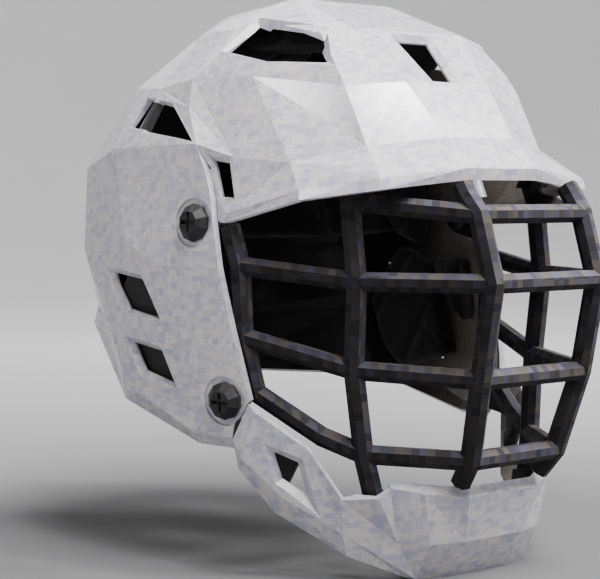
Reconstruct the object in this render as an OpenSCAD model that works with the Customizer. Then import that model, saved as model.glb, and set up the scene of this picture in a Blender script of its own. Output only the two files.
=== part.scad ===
// Flat-panelled sport helmet with an open wire face cage and a screwed-on chin guard.
// The face looks along -Y, +Z is up, and the origin is under the middle of the helmet
// on the plane of the chin guard's flat underside. Lengths are in millimetres.

/* [Shell] */
// Widest distance across the two shells, ear to ear
shell_width = 228; // [208:1:248]
// Reference length, from the cage's front to the back of the shell
shell_length = 326; // [300:1:350]
// Reference height, from the chin guard's underside to the crown
shell_height = 303; // [285:1:325]
// Thickness of the moulded shells and the chin guard
wall = 4; // [3.4:0.1:4.6]
// Width of the slope round each vent
vent_bevel = 3.2; // [2:0.2:4]
// Clearance between the front shell and the side shell that laps over it
shell_gap = 0.3; // [0.2:0.05:0.5]

/* [Cage] */
// Distance across the flats of the cage's eight-sided wire
wire_d = 10.4; // [8:0.2:10.8]
// Clearance between the wire and what holds it
wire_gap = 0.15; // [0.1:0.05:0.3]
// Thickness of the steel tabs that fasten the cage
tab_t = 3; // [2.5:0.25:4]
// Thickness of the brackets between the side shell and the chin guard
bracket_t = 1.8; // [1.5:0.1:2.2]

/* [Screws] */
// Diameter of the four large cage screws' heads
stud_d = 20; // [17:0.5:22]
// Height of those heads
stud_h = 6; // [4.5:0.25:7]
// Diameter of every screw's shank
shank_d = 5; // [4:0.25:6]
// Radial clearance of the shanks in their holes
shank_gap = 0.1; // [0.05:0.05:0.3]
// Diameter of the round seat sunk round each large head
seat_d = 26; // [24:0.5:28]

/* [Liner] */
// Thickness of the foam blocks
pad_t = 15; // [10:0.5:18]
// Thickness of the adhesive behind each foam block
pad_glue = 0.3; // [0.2:0.1:0.6]

/* [Rear fit] */
// Diameter of the dial at the back of the head
dial_d = 34; // [30:0.5:38]
// Thickness of the dial
dial_t = 7.5; // [6:0.5:10]
// Diameter of the dial's spindle
spindle_d = 8; // [6:0.5:9]
// Diameter of the two rods that guide the nape cradle
rod_d = 5; // [4:0.25:6]
// Running clearance of the spindle and the rods
run_gap = 0.1; // [0.05:0.01:0.1]
// Travel of the nape cradle
cradle_travel = 10; // [6:0.5:11]
// Width of the nape cradle
cradle_w = 80; // [70:1:86]
// Thickness of the nape pad
nape_pad_t = 11; // [9:0.5:13]

/* [Hidden] */

white = [0.86, 0.86, 0.88];
black = [0.1, 0.1, 0.11];
steel = [0.6, 0.6, 0.62];
foam = [0.16, 0.16, 0.18];
round_fn = 48;

// A reference point at the helmet's chosen size
function at(p) = [p.x * shell_width / 228, p.y * shell_length / 326, p.z * shell_height / 303];

// Middles of the head space and of the chin space, from which the facets face away
middle = at([0, 15, 150]);
chin_middle = at([0, -40, 60]);
function inside_of(p) = p.y < chin_middle.y && p.z < chin_middle.z * 1.6 ? chin_middle : middle;
function unit(v) = v / norm(v);
function flip_x(p) = [-p.x, p.y, p.z];
function flat(l) = [for (a = l) for (b = a) b];
function mean_of(l, i = 0) = i == len(l) - 1 ? l[i] / len(l) : l[i] / len(l) + mean_of(l, i + 1);
function mix(a, b, t) = a + (b - a) * t;

// The point nearest to q on the plane through p across d
function p_on_plane(q, p, d) = q - d * ((q - p) * d);
function back_to_front(l) = [for (i = [len(l) - 1:-1:0]) l[i]];

// Corners of the crown, brow and visor on one side
crown_top = at([36, -12, 303]);
crown_mid = at([43, -61, 284]);
crown_low = at([32, -90, 255]);
brow_in = at([26, -113, 226]);
brow_mid = at([67, -97, 221]);
brow_out = at([91, -66, 213]);
brim_in = at([28, -129, 210]);
brim_mid = at([79, -118, 205]);
brim_out = at([96, -78, 199]);
brim_end = at([104, -32, 187]);
lip_in = at([27, -128, 204]);
lip_mid = at([80, -119, 199]);
lip_out = at([97, -79, 194]);
lip_end = at([104, -30, 182]);
vent_top_rear = at([62, -10, 290]);
vent_top_front = at([62, -58, 280]);
vent_low_front = at([66, -74, 262]);
crown_side = at([67, -81, 252]);
vent_low_mid = at([80, -34, 266]);
vent_low_rear = at([83, -4, 272]);
temple_high = at([85, -31, 258]);
temple_rear = at([92, 9, 258]);
temple_seam = at([98, 5, 243]);
panel_front = at([99, -32, 216]);
panel_low = at([102, -35, 193]);

// Seats of the large screws and the directions in which they stand out
upper_stud = at([108.6, -11, 182]);
upper_axis = unit([0.99, -0.118, 0.071]);
lower_stud = at([104, -30, 90]);
lower_axis = unit([0.964, -0.248, -0.092]);

// A point of the flat panel round the upper screw, at the height and depth given
function on_side(p) = [(upper_axis * upper_stud - upper_axis.y * p.y - upper_axis.z * p.z)
    / upper_axis.x, p.y, p.z];

// Corners of the seam between the two shells
seam_high = at([68, 2, 285]);
seam_vent = at([90, 39, 254]);
seam_side = at([96, 20, 246]);
edge_top = at([106, -10, 223]);
edge_a = on_side(at([0, -17, 210]));
edge_b = on_side(at([0, -22, 196]));
edge_c = on_side(at([0, -24.5, 183]));
edge_d = at([108, -30, 159]);
edge_e = at([107, -32, 149]);
edge_f = at([105, -37, 127]);
edge_g = at([102, -43, 102]);
edge_low = at([100, -45, 91]);

// Corners of the side and back
side_vent = at([104, 62, 222]);
side_high = at([107, 0, 223]);
ear_rear = at([113, 41, 171]);
ear_mid = at([114, 27, 166]);
ear_front = at([113, 12, 159]);
jaw_high = at([106, -28, 108]);
jaw_mid = at([106, -18, 81]);
jaw_low = at([107, -9, 72]);
jaw_front = at([102, -36, 79]);
jaw_end = at([102, -34, 71]);
foot_front = at([98, -32, 65]);
foot_mid = at([103, -9, 66]);
foot_rear = at([109, 36, 90]);
flare_high = at([110, 63, 130]);
flare_low = at([109, 50, 102]);
back_a = at([78, 74, 256]);
back_b = at([92, 103, 211]);
back_c = at([101, 94, 166]);
back_d = at([104, 77, 135]);
back_e = at([102, 84, 125]);
back_f = at([100, 58, 84]);
crest_a = at([56, 20, 292]);
crest_b = at([62, 34, 286]);
spine_a = at([34, 48, 297]);
spine_b = at([36, 106, 266]);
spine_c = at([38, 148, 214]);
spine_d = at([38, 158, 165]);
spine_e = at([36, 150, 120]);
spine_f = at([36, 138, 86]);

// Corners of the chin guard
arm_rear_top = at([104, -49, 90]);
arm_rear_mid = at([106, -39, 71]);
arm_rear_low = at([104, -41, 56]);
arm_step_top = at([106, -55, 87]);
arm_step_low = at([107, -47, 62]);
arm_ridge_mid = at([89, -77, 68]);
arm_ridge_front = at([79, -92, 43]);
arm_crease = at([93, -63, 42]);
arm_corner = at([76, -89, 25]);
arm_under_rear = at([90, -54, 33]);
arm_under_front = at([72, -88, 13]);
notch_rear = at([73, -96, 44]);
notch_front = at([67, -106, 44]);
beak_side = at([60, -107, 49]);
beak_side_lip = at([57, -104, 52]);
beak_mid = at([48, -120, 46]);
beak_mid_lip = at([44, -117, 50]);
beak_front = at([26, -130, 43]);
beak_front_lip = at([25, -127, 48]);
beak_side_crease = at([52, -105, 19]);
beak_mid_crease = at([42, -118, 19]);
beak_front_crease = at([21, -124, 19]);
under_rear = at([46, -104, 1]);
under_side = at([42, -108, 0]);
under_front = at([22, -114, 0]);
under_side_in = at([36, -90, 0]);
under_front_in = at([20, -94, 0]);

// Nodes of the cage's wires on one side
side_top = at([97.5, -27, 180]);
side_upper = at([97.3, -35, 160]);
side_middle = at([95.3, -35, 123]);
side_corner = at([90.3, -40, 94]);
outer_top = at([71, -86, 206]);
outer_brow = at([72, -90, 193]);
outer_upper = at([72, -95, 153]);
outer_middle = at([70, -91, 108]);
outer_lower = at([65, -93, 65]);
outer_end = at([59.5, -95, 42]);
inner_tip = at([40.5, -137.5, 201]);
inner_top = at([41, -141, 196]);
inner_brow = at([40, -148, 187]);
inner_upper = at([40, -158, 153]);
inner_middle = at([39, -149, 105]);
inner_lower = at([33, -137, 63]);
inner_end = at([30, -128, 51]);
lower_bend = at([75, -73, 73]);

// Facets as lists of corners; each facet of a side is repeated on the other side
function both_sides(facets) = concat(facets, [for (f = facets) [for (p = f) flip_x(p)]]);
function strip(line) = [for (i = [0:len(line) - 2])
    [line[i], line[i + 1], flip_x(line[i + 1]), flip_x(line[i])]];

// The front shell runs under the side shell by one wall and a little air
tuck = wall + shell_gap;
function tucked(p) = p - [tuck, 0, 0];
tuck_a = tucked(edge_a - [0, shell_gap, 0]);
tuck_b = tucked(edge_b + at([0, 1, 0]));
tuck_c = tucked(edge_c + at([0, 1, 0]));
tuck_d = tucked(on_side(at([0, -15, 170])));
lap_a = tucked(on_side(at([0, 6, 208])));
lap_b = tucked(on_side(at([0, 7, 195])));
lap_c = tucked(on_side(at([0, 8, 178])));
lap_d = tucked(on_side(at([0, 8, 168])));

front_facets = concat(strip([crown_top, crown_mid, crown_low, brow_in, brim_in, lip_in]),
    both_sides([
        [crown_top, crown_mid, vent_top_front, vent_top_rear],
        [crown_top, vent_top_rear, seam_high],
        [crown_mid, crown_low, vent_low_front, vent_top_front],
        [crown_low, brow_in, brow_mid, crown_side],
        [crown_low, crown_side, vent_low_front],
        [vent_low_front, crown_side, temple_high],
        [crown_side, brow_mid, temple_high],
        [vent_top_rear, vent_top_front, vent_low_front, vent_low_mid],
        [vent_top_rear, vent_low_mid, vent_low_rear],
        [vent_low_mid, vent_low_front, temple_high],
        [vent_low_rear, vent_low_mid, temple_high, temple_rear],
        [vent_top_rear, vent_low_rear, seam_high],
        [seam_high, vent_low_rear, temple_rear],
        [seam_high, temple_rear, seam_vent],
        [seam_vent, temple_rear, temple_seam, seam_side],
        [temple_high, brow_mid, brow_out, panel_front],
        [temple_rear, temple_high, panel_front, temple_seam],
        [seam_side, temple_seam, edge_top],
        [temple_seam, panel_front, edge_top],
        [edge_top, panel_front, tuck_a],
        [tuck_a, panel_front, panel_low, tuck_b],
        [panel_front, brow_out, panel_low],
        [brow_out, brim_out, brim_end, panel_low],
        [panel_low, brim_end, tuck_b],
        [brim_end, lip_end, tuck_c, tuck_b],
        [brow_mid, brim_mid, brow_out],
        [brow_in, brim_in, brim_mid, brow_mid],
        [brow_out, brim_mid, brim_out],
        [brim_in, lip_in, lip_mid, brim_mid],
        [brim_mid, lip_mid, lip_out, brim_out],
        [brim_out, lip_out, lip_end, brim_end],
        [tuck_a, tuck_b, lap_b, lap_a],
        [tuck_b, tuck_c, lap_c, lap_b],
        [tuck_c, tuck_d, lap_d, lap_c]]));

rear_facets = concat(strip([crown_top, spine_a, spine_b, spine_c, spine_d, spine_e, spine_f]),
    both_sides([
        [crown_top, seam_high, crest_a],
        [crown_top, crest_a, spine_a],
        [seam_high, crest_b, crest_a],
        [seam_high, seam_vent, crest_b],
        [seam_vent, back_a, crest_b],
        [crest_a, crest_b, spine_a],
        [crest_b, back_a, spine_b, spine_a],
        [back_a, back_b, spine_c, spine_b],
        [back_b, back_c, spine_d, spine_c],
        [back_c, back_d, spine_e, spine_d],
        [back_d, back_e, spine_e],
        [back_e, back_f, spine_f, spine_e],
        [seam_vent, side_vent, back_a],
        [side_vent, back_b, back_a],
        [seam_side, side_vent, seam_vent],
        [seam_side, side_high, side_vent],
        [seam_side, edge_top, side_high],
        [side_vent, ear_rear, back_c, back_b],
        [side_vent, side_high, ear_mid, ear_rear],
        [side_high, edge_top, edge_a, edge_b, edge_c, edge_d, ear_front],
        [side_high, ear_front, ear_mid],
        [ear_rear, flare_high, back_c],
        [back_c, flare_high, back_d],
        [ear_rear, ear_mid, flare_low, flare_high],
        [ear_mid, foot_rear, flare_low],
        [ear_mid, ear_front, jaw_mid, foot_rear],
        [jaw_mid, jaw_low, foot_rear],
        [ear_front, jaw_high, jaw_mid],
        [jaw_high, ear_front, edge_d, edge_e, edge_f, edge_g],
        [jaw_mid, jaw_high, edge_g, edge_low, jaw_front],
        [jaw_low, jaw_mid, jaw_front, jaw_end],
        [jaw_low, jaw_end, foot_front, foot_mid],
        [foot_rear, jaw_low, foot_mid, back_f],
        [flare_low, foot_rear, back_f],
        [flare_high, flare_low, back_f, back_e],
        [back_d, flare_high, back_e]]));

chin_facets = concat(strip([beak_front_lip, beak_front, beak_front_crease, under_front,
        under_front_in]),
    both_sides([
        [arm_rear_top, arm_rear_mid, arm_step_top],
        [arm_rear_mid, arm_step_low, arm_step_top],
        [arm_rear_mid, arm_rear_low, arm_step_low],
        [arm_step_top, arm_step_low, arm_crease, arm_ridge_mid],
        [arm_ridge_mid, arm_crease, arm_corner, arm_ridge_front],
        [arm_step_low, arm_rear_low, arm_under_rear, arm_crease],
        [arm_crease, arm_under_rear, arm_under_front, arm_corner],
        [arm_corner, arm_under_front, under_rear],
        [arm_corner, under_rear, under_side, beak_side_crease],
        [arm_ridge_front, arm_corner, beak_side_crease, notch_front, notch_rear],
        [notch_front, beak_side_crease, beak_side],
        [beak_side, beak_side_crease, beak_mid_crease, beak_mid],
        [beak_mid, beak_mid_crease, beak_front_crease, beak_front],
        [beak_side_crease, under_side, beak_mid_crease],
        [beak_mid_crease, under_side, under_front, beak_front_crease],
        [beak_side_lip, beak_side, beak_mid, beak_mid_lip],
        [beak_mid_lip, beak_mid, beak_front, beak_front_lip],
        [under_side, under_rear, under_side_in],
        [under_side, under_side_in, under_front_in, under_front]]));

function sum_of(l, i = 0) = i == len(l) - 1 ? l[i] : l[i] + sum_of(l, i + 1);
function facet_normal(f) = unit(sum_of([for (i = [1:len(f) - 2]) cross(f[i] - f[0], f[i + 1] - f[0])]));
function turned(f) = [for (i = [0:len(f) - 1]) f[(len(f) - i) % len(f)]];
function facing_out(f) = let (c = mean_of(f))
    facet_normal(f) * (c - inside_of(c)) < 0 ? turned(f) : f;
function fan(f) = [for (i = [1:len(f) - 2]) [f[0], f[i], f[i + 1]]];
function is_first(l, i) = len([for (j = [0:1:i - 1]) if (l[j] == l[i]) 1]) == 0;
function corners_of(facets) = let (all = flat(facets))
    [for (i = [0:len(all) - 1]) if (is_first(all, i)) all[i]];
function place_of(p, points) = [for (i = [0:len(points) - 1]) if (points[i] == p) i][0];

// Inward shift of a corner that keeps every facet round it one thickness deep
function shift_in(p, facets, depth) =
    let (own = [for (f = facets) if (len([for (c = f) if (c == p) 1]) > 0)
            facet_normal(facing_out(f))],
        out = unit(mean_of(own)),
        lean = mean_of([for (n = own) out * n]))
    -out * depth / max(lean, 0.55);

// A closed sheet of one thickness behind the given facets; the facets of a part that it
// meets along an edge are given too, so that both parts end there in the same face
module thick_sheet(facets, depth, meets = []) {
    points = corners_of(facets);
    tris = flat([for (f = facets) [for (t = fan(facing_out(f))) [for (p = t) place_of(p, points)]]]);
    inner = [for (p = points) p + shift_in(p, concat(facets, meets), depth)];
    n = len(points);
    edges = flat([for (t = tris) [[t[0], t[1]], [t[1], t[2]], [t[2], t[0]]]]);
    rim = [for (e = edges) if (len([for (g = edges) if (g == [e[1], e[0]]) 1]) == 0) e];
    polyhedron(concat(points, inner), concat(
        [for (t = tris) back_to_front(t)],
        [for (t = tris) [for (i = t) i + n]],
        flat([for (e = rim) rises(points[e[0]], points[e[1]])
            ? [[e[0], e[1], e[0] + n], [e[1], e[1] + n, e[0] + n]]
            : [[e[0], e[1], e[1] + n], [e[0], e[1] + n, e[0] + n]]])));
}
function rises(a, b) = b.y + b.z > a.y + a.z;

// A closed body through rings of the same number of corners
module ringed_body(rings) {
    m = len(rings[0]);
    last = len(rings) - 1;
    polyhedron(flat(rings), concat(
        [[for (k = [m - 1:-1:0]) k]],
        flat([for (j = [0:last - 1]) flat([for (k = [0:m - 1]) let (q = (k + 1) % m)
            [[j * m + k, j * m + q, (j + 1) * m + q], [j * m + k, (j + 1) * m + q, (j + 1) * m + k]]])]),
        [[for (k = [0:m - 1]) last * m + k]]));
}

// Corners of a closed outline moved towards its inside
function inset(ring, by) = [for (i = [0:len(ring) - 1])
    let (p = ring[i],
        a = unit(ring[(i + len(ring) - 1) % len(ring)] - p),
        b = unit(ring[(i + 1) % len(ring)] - p),
        half = unit(a + b))
    p + half * by / norm(cross(a, half))];

// The tool that cuts one vent: sloping inwards to the opening, then straight through
slope_depth = wall * 0.75;
vent_reach = wall * 5;
module vent_cut(opening, bevel = vent_bevel) {
    outline = facing_out(opening);
    out = facet_normal(outline);
    ring = [for (p = outline) p_on_plane(p, mean_of(outline), out)];
    ringed_body([
        [for (p = inset(ring, -2 * bevel)) p + out * slope_depth],
        [for (p = ring) p - out * slope_depth],
        [for (p = ring) p - out * vent_reach]]);
}

module on_both_sides() {
    children();
    mirror([1, 0, 0]) children();
}

// Turns +Z to the given direction at the given point
module facing(p, d) {
    translate(p) rotate([0, acos(d.z), atan2(d.y, d.x)]) children();
}

// A round bar or bore along +Z between two heights
module round_bar(d, low, high) {
    translate([0, 0, low]) cylinder(d = d, h = high - low, $fn = round_fn);
}

// How far a bore's tool reaches inside and outside the seat that it starts from
bore_in = 30;
bore_out = 10;
module bore(d) round_bar(d, -bore_in, bore_out);

module screw_hole(p, d) {
    facing(p, d) bore(shank_d + 2 * shank_gap);
}

module stud_seat(p, d) {
    facing(p, d) round_bar(seat_d, -seat_depth, bore_out);
}

// Openings of the vents on one side
crown_vent = [at([62, -10, 287]), at([60, -52, 279]), at([66, -67, 264.5]),
    at([79, -36, 269]), at([81, -5.5, 274.5])];
front_vent_rear = at([12.5, -65, 280]);
front_vent_low = at([8, -87.5, 258]);
temple_vent = [at([102, -19, 215]), at([99, -27, 213.5]), at([101.5, -33, 196]),
    at([103.5, -26, 196])];
high_vent_rear = [at([91, 52, 250]), at([94, 41, 248.5]), at([100.5, 45, 233]),
    at([98, 58.5, 235])];
high_vent_front = [at([95, 35, 247]), at([96.5, 22.5, 244.5]), at([105.5, -3, 226]),
    at([101.5, 38, 231.5])];
ear_vent_high = [at([111, 57.5, 154]), at([113, 29, 151]), at([113.4, 15, 130.5]),
    at([111, 43, 134.7])];
ear_vent_low = [at([110.5, 40, 116.7]), at([110.4, 16.5, 113]), at([108.7, 7.5, 96.6]),
    at([109.8, 31, 102])];
chin_vent = [at([98.3, -61, 65.4]), at([90.9, -70.9, 60.3]), at([86.5, -73.2, 43.5]),
    at([94.7, -63, 51.6])];

module front_sheet(depth = wall) thick_sheet(front_facets, depth, rear_facets);
module rear_sheet(depth = wall) thick_sheet(rear_facets, depth, front_facets);
module chin_sheet(depth = wall) thick_sheet(chin_facets, depth);

module front_shell() color(white) difference() {
    front_sheet();
    on_both_sides() {
        vent_cut(crown_vent);
        vent_cut(temple_vent, vent_bevel / 2);
        screw_hole(upper_stud, upper_axis);
    }
    vent_cut([front_vent_rear, front_vent_low, flip_x(front_vent_low),
        flip_x(front_vent_rear)]);
    rivet_shanks();
}

module rear_shell() color(white) difference() {
    rear_sheet();
    on_both_sides() {
        vent_cut(high_vent_rear, vent_bevel / 2);
        vent_cut(high_vent_front, vent_bevel / 2);
        vent_cut(ear_vent_high);
        vent_cut(ear_vent_low);
        stud_seat(upper_stud, upper_axis);
        stud_seat(lower_stud, lower_axis);
        screw_hole(upper_stud, upper_axis);
        screw_hole(lower_stud, lower_axis);
        rod_place() bore(rod_d + 2 * shank_gap);
    }
    dial_place() bore(spindle_d + 2 * run_gap);
    rivet_shanks();
}

module chin_guard() color(white) difference() {
    chin_sheet();
    on_both_sides() {
        vent_cut(chin_vent);
        arm_screw_shank();
    }
}

// Rings of an eight-sided wire with mitred bends along a path
function wire_rings(path, size, up) =
    let (first = unit(path[1] - path[0]),
        rise = unit(up - first * (up * first)),
        side = cross(rise, first),
        reach = size / 2 / cos(22.5),
        start = [for (k = [0:7]) (rise * cos(45 * k + 22.5) + side * sin(45 * k + 22.5)) * reach])
    ring_from(path, 0, start);
function ring_from(path, i, spokes) =
    let (last = len(path) - 1,
        before = unit(path[max(i, 1)] - path[max(i, 1) - 1]),
        after = unit(path[min(i, last - 1) + 1] - path[min(i, last - 1)]),
        cut = unit(before + after),
        here = [for (s = spokes) s - before * (s * cut) / (before * cut)],
        onward = [for (s = here) s - after * (s * after)])
    concat([[for (s = here) path[i] + s]], i < last ? ring_from(path, i + 1, onward) : []);

module wire(path, up, size = wire_d) {
    ringed_body(wire_rings(path, size, up));
}

side_path = [side_top, side_upper, side_middle, side_corner + at([0, 0, -2])];
outer_path = [outer_top, outer_brow, outer_upper, outer_middle, outer_lower, outer_end];
inner_path = [inner_tip, inner_top, inner_brow, inner_upper, inner_middle, inner_lower, inner_end];
// How much thinner the bars across are than the uprights that they end in
bar_step = 0.8;

module side_bar(extra = 0) wire(side_path, [1, -0.4, 0], wire_d + extra);
module outer_upright(extra = 0) wire(outer_path, [0.7, -0.7, 0], wire_d + extra);
module inner_upright(extra = 0) wire(inner_path, [0.2, -0.5, 1], wire_d + extra);

module cage_side_bars() color(black) on_both_sides() side_bar();
module cage_outer_uprights() color(black) on_both_sides() outer_upright();
module cage_inner_uprights() color(black) on_both_sides() inner_upright();

// A bar across the cage in straight runs, each ending inside the upright that it meets
module cross_bar(runs) {
    last_run = runs[len(runs) - 1];
    middle_end = last_run[len(last_run) - 1];
    difference() {
        union() {
            on_both_sides() for (run = runs) wire(run, [0, 0, 1], wire_d - bar_step);
            wire([middle_end, flip_x(middle_end)], [0, 0, 1], wire_d - bar_step);
        }
        on_both_sides() {
            side_bar();
            outer_upright();
            inner_upright();
        }
    }
}

module cage_top_bar() color(black) cross_bar([[outer_brow, inner_brow]]);
module cage_upper_bar() color(black)
    cross_bar([[side_upper, outer_upper], [outer_upper, inner_upper]]);
module cage_middle_bar() color(black)
    cross_bar([[side_middle, outer_middle], [outer_middle, inner_middle]]);
module cage_lower_bar() color(black)
    cross_bar([[side_corner, lower_bend, outer_lower], [outer_lower, inner_lower]]);

// Depth of the large heads' seats, and of the small screws' blind holes in a wall
seat_depth = 1.4;
blind_depth = wall - 1.4;
// Air between a plate and the wall that it is screwed to
seat_gap = 0.05;
// Diameters of the small screws' and rivets' shanks and heads
small_d = 3;
small_head_d = 7;
small_head_t = 1.6;
nut_d = 12;
nut_t = 5;
nut_flats = 10;
flange_t = 1.5;
// How far the large screws stand out of their nuts, and how deep a shank goes into its head
screw_end = 1;
shank_root = 1;
// The large heads: straight rim, top's share of the width, sides, and the cross recess
rim_t = 2;
head_top = 0.6;
head_sides = 10;
recess_w = 2;
recess_depth = 2.4;
upper_stack = tuck * upper_axis.x + wall;
lower_stack = wall + bracket_t + seat_gap;

// A domed head with a cross recess, and its shank
module large_screw(p, d, length) {
    facing(p, d) {
        difference() {
            union() {
                translate([0, 0, -seat_depth]) cylinder(d = stud_d, h = rim_t, $fn = head_sides);
                translate([0, 0, rim_t - seat_depth])
                    cylinder(d1 = stud_d, d2 = stud_d * head_top, h = stud_h - rim_t,
                        $fn = head_sides);
            }
            for (turn = [0, 90]) rotate(turn)
                translate([-stud_d / 4, -recess_w / 2, stud_h - seat_depth - recess_depth])
                    cube([stud_d / 2, recess_w, recess_depth + 1]);
        }
        round_bar(shank_d, -length, shank_root - seat_depth);
    }
}

module upper_cage_screws() color(black) on_both_sides()
    large_screw(upper_stud, upper_axis, upper_stack + tab_t + nut_t + screw_end);
module lower_cage_screws() color(black) on_both_sides()
    large_screw(lower_stud, lower_axis, lower_stack + tab_t + nut_t + screw_end);

module nut_on(p, d, stack) {
    facing(p, d) difference() {
        union() {
            round_bar(nut_d, -stack - flange_t, -stack);
            translate([0, 0, -stack - nut_t]) cylinder(d = nut_flats, h = nut_t, $fn = 6);
        }
        bore(shank_d + 2 * shank_gap);
    }
}

module cage_nuts() color(steel) on_both_sides() {
    nut_on(upper_stud, upper_axis, upper_stack + tab_t + seat_gap);
    nut_on(lower_stud, lower_axis, lower_stack + tab_t + seat_gap);
}

// A flat plate between two discs; each disc has its own place and direction
module plate(p, d, depth, p_end, d_end, depth_end, thick, size, size_end) {
    hull() {
        facing(p, d) translate([0, 0, -depth - thick]) cylinder(d = size, h = thick, $fn = 24);
        facing(p_end, d_end) translate([0, 0, -depth_end - thick])
            cylinder(d = size_end, h = thick, $fn = 24);
    }
}

// Tabs of the cage: each runs from a large screw to the side bar
tab_d = 16;
bracket_d = 11;
upper_tab_end = mix(side_top, side_upper, 0.45);
lower_tab_end = mix(side_middle, side_corner, 0.85);

module cage_tab(p, d, stack, tab_end) {
    difference() {
        plate(p, d, stack, p_on_plane(tab_end, p, d), d, stack, tab_t, tab_d, wire_d * 0.45);
        screw_hole(p, d);
        side_bar();
        front_sheet(wall + seat_gap);
        rear_sheet(wall + seat_gap);
    }
}

module upper_cage_tabs() color(black) on_both_sides()
    cage_tab(upper_stud, upper_axis, upper_stack + seat_gap / 2, upper_tab_end);
module lower_cage_tabs() color(black) on_both_sides()
    cage_tab(lower_stud, lower_axis, lower_stack + seat_gap / 2, lower_tab_end);

// Brackets inside, from the lower large screws to the arms of the chin guard
arm_facet = [arm_step_top, arm_step_low, arm_crease, arm_ridge_mid];
arm_axis = facet_normal(facing_out(arm_facet));
arm_seat = p_on_plane(arm_step_top * 0.35 + arm_step_low * 0.5 + arm_ridge_mid * 0.15,
    arm_step_top, arm_axis);

module arm_screw_shank() {
    facing(arm_seat, arm_axis) round_bar(small_d, -wall - bracket_t - 1, -wall + blind_depth);
}

jaw_facet = [jaw_low, jaw_mid, jaw_front, jaw_end];
jaw_axis = facet_normal(facing_out(jaw_facet));
jaw_seat = mean_of([jaw_mid, jaw_front, jaw_end]);

module chin_guard_brackets() color(black) on_both_sides() difference() {
    union() {
        plate(lower_stud, lower_axis, wall, jaw_seat, jaw_axis, wall, bracket_t, tab_d, bracket_d);
        plate(jaw_seat, jaw_axis, wall, arm_seat, arm_axis, wall, bracket_t, bracket_d, bracket_d);
    }
    screw_hole(lower_stud, lower_axis);
    arm_screw_shank();
    facing(arm_seat, arm_axis) round_bar(small_head_d + 1, -bore_in, -wall - bracket_t);
    facing(lower_stud, lower_axis) round_bar(tab_d + 4, -bore_in, -lower_stack);
    side_bar();
    rear_sheet(wall + seat_gap);
    chin_sheet(wall + seat_gap);
}

module chin_guard_screws() color(steel) on_both_sides() {
    arm_screw_shank();
    facing(arm_seat, arm_axis)
        round_bar(small_head_d, -wall - bracket_t - small_head_t, -wall - bracket_t);
}

// Blocks that hold the uprights: under the visor and behind the chin guard's notches
visor_facet = [brow_mid, brim_mid, brow_out];
visor_axis = facet_normal(facing_out(visor_facet));
visor_seat = brow_mid * 0.5 + brow_out * 0.3 + brim_mid * 0.2;
visor_clip_r = 8;
// Wall of the clips round the wire
clip_t = 2.3;

function disc(p, d, r, count = 10) =
    let (a = unit(cross(d, [0, 1, 0])), b = cross(d, a))
    [for (k = [0:count - 1]) p + (a * cos(360 * k / count) + b * sin(360 * k / count)) * r];

module visor_clips() color(black) on_both_sides() difference() {
    ringed_body([
        disc(visor_seat - visor_axis * (wall + seat_gap), visor_axis, visor_clip_r),
        disc(mix(outer_top, outer_brow, 0.45), [0, 0, 1], visor_clip_r + 1)]);
    outer_upright(2 * wire_gap);
    front_sheet(wall + seat_gap);
}

module chin_clips() color(black) on_both_sides() difference() {
    wire([mix(outer_end, outer_lower, 0.09), mix(outer_end, outer_lower, -0.35)], [0.7, -0.7, 0],
        wire_d + 2 * clip_t);
    outer_upright(2 * wire_gap);
    chin_sheet(wall + seat_gap);
}

// The joiner under the seam at the crown
joiner_t = 2.5;
joiner_w = 52;
joiner_reach = 11;
rivet_x = 17;
seam_mid = [0, crown_top.y, crown_top.z];
front_slope = unit([0, crown_mid.y - crown_top.y, crown_mid.z - crown_top.z]);
rear_slope = unit([0, spine_a.y - crown_top.y, spine_a.z - crown_top.z]);
front_up = cross([-1, 0, 0], front_slope);
rear_up = cross([1, 0, 0], rear_slope);
function across_seam(depth, slope, out) = seam_mid + slope * joiner_reach - out * depth;
function under_seam(depth) = seam_mid - (front_up + rear_up) * depth / (1 + front_up * rear_up);
joiner_top = wall + seat_gap;
joiner_low = joiner_top + joiner_t;
joiner_outline = [across_seam(joiner_top, front_slope, front_up), under_seam(joiner_top),
    across_seam(joiner_top, rear_slope, rear_up), across_seam(joiner_low, rear_slope, rear_up),
    under_seam(joiner_low), across_seam(joiner_low, front_slope, front_up)];

module crown_joiner() color(steel) difference() {
    rotate([90, 0, 90]) linear_extrude(joiner_w, center = true)
        polygon([for (p = joiner_outline) [p.y, p.z]]);
    rivet_shanks(shank_gap);
}

module at_rivets() {
    for (x = [-rivet_x, rivet_x], side = [[front_slope, front_up], [rear_slope, rear_up]])
        facing(seam_mid + [x, 0, 0] + side[0] * joiner_reach * 0.6, side[1]) children();
}

module rivet_shanks(extra = 0) {
    at_rivets() round_bar(small_d + 2 * extra, -wall - joiner_t - 1, -wall + blind_depth);
}

module crown_rivets() color(steel) at_rivets() {
    round_bar(small_d, -wall - joiner_t - 1, -wall + blind_depth);
    round_bar(small_head_d, -wall - joiner_t - seat_gap - small_head_t, -wall - joiner_t - seat_gap);
}

// A foam block behind one facet: its back follows the facet and its front is smaller
module pad(facet, share = 0.85, share_front = 0.72, thick = pad_t) {
    f = facing_out(facet);
    n = facet_normal(f);
    sunk = max([for (p = f) (f[0] - p) * n]);
    back = wall + pad_glue + max(sunk, 0);
    q = [for (p = f) p - n * ((p - f[0]) * n)];
    c = mean_of(q);
    ringed_body([[for (p = q) c + (p - c) * share - n * back],
        [for (p = q) c + (p - c) * share - n * (back + thick * 0.7)],
        [for (p = q) c + (p - c) * share_front - n * (back + thick)]]);
}

function between(a, b, from, to) = let (p = mix(a, b, from), q = mix(a, b, to))
    [p, q, flip_x(q), flip_x(p)];

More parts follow.
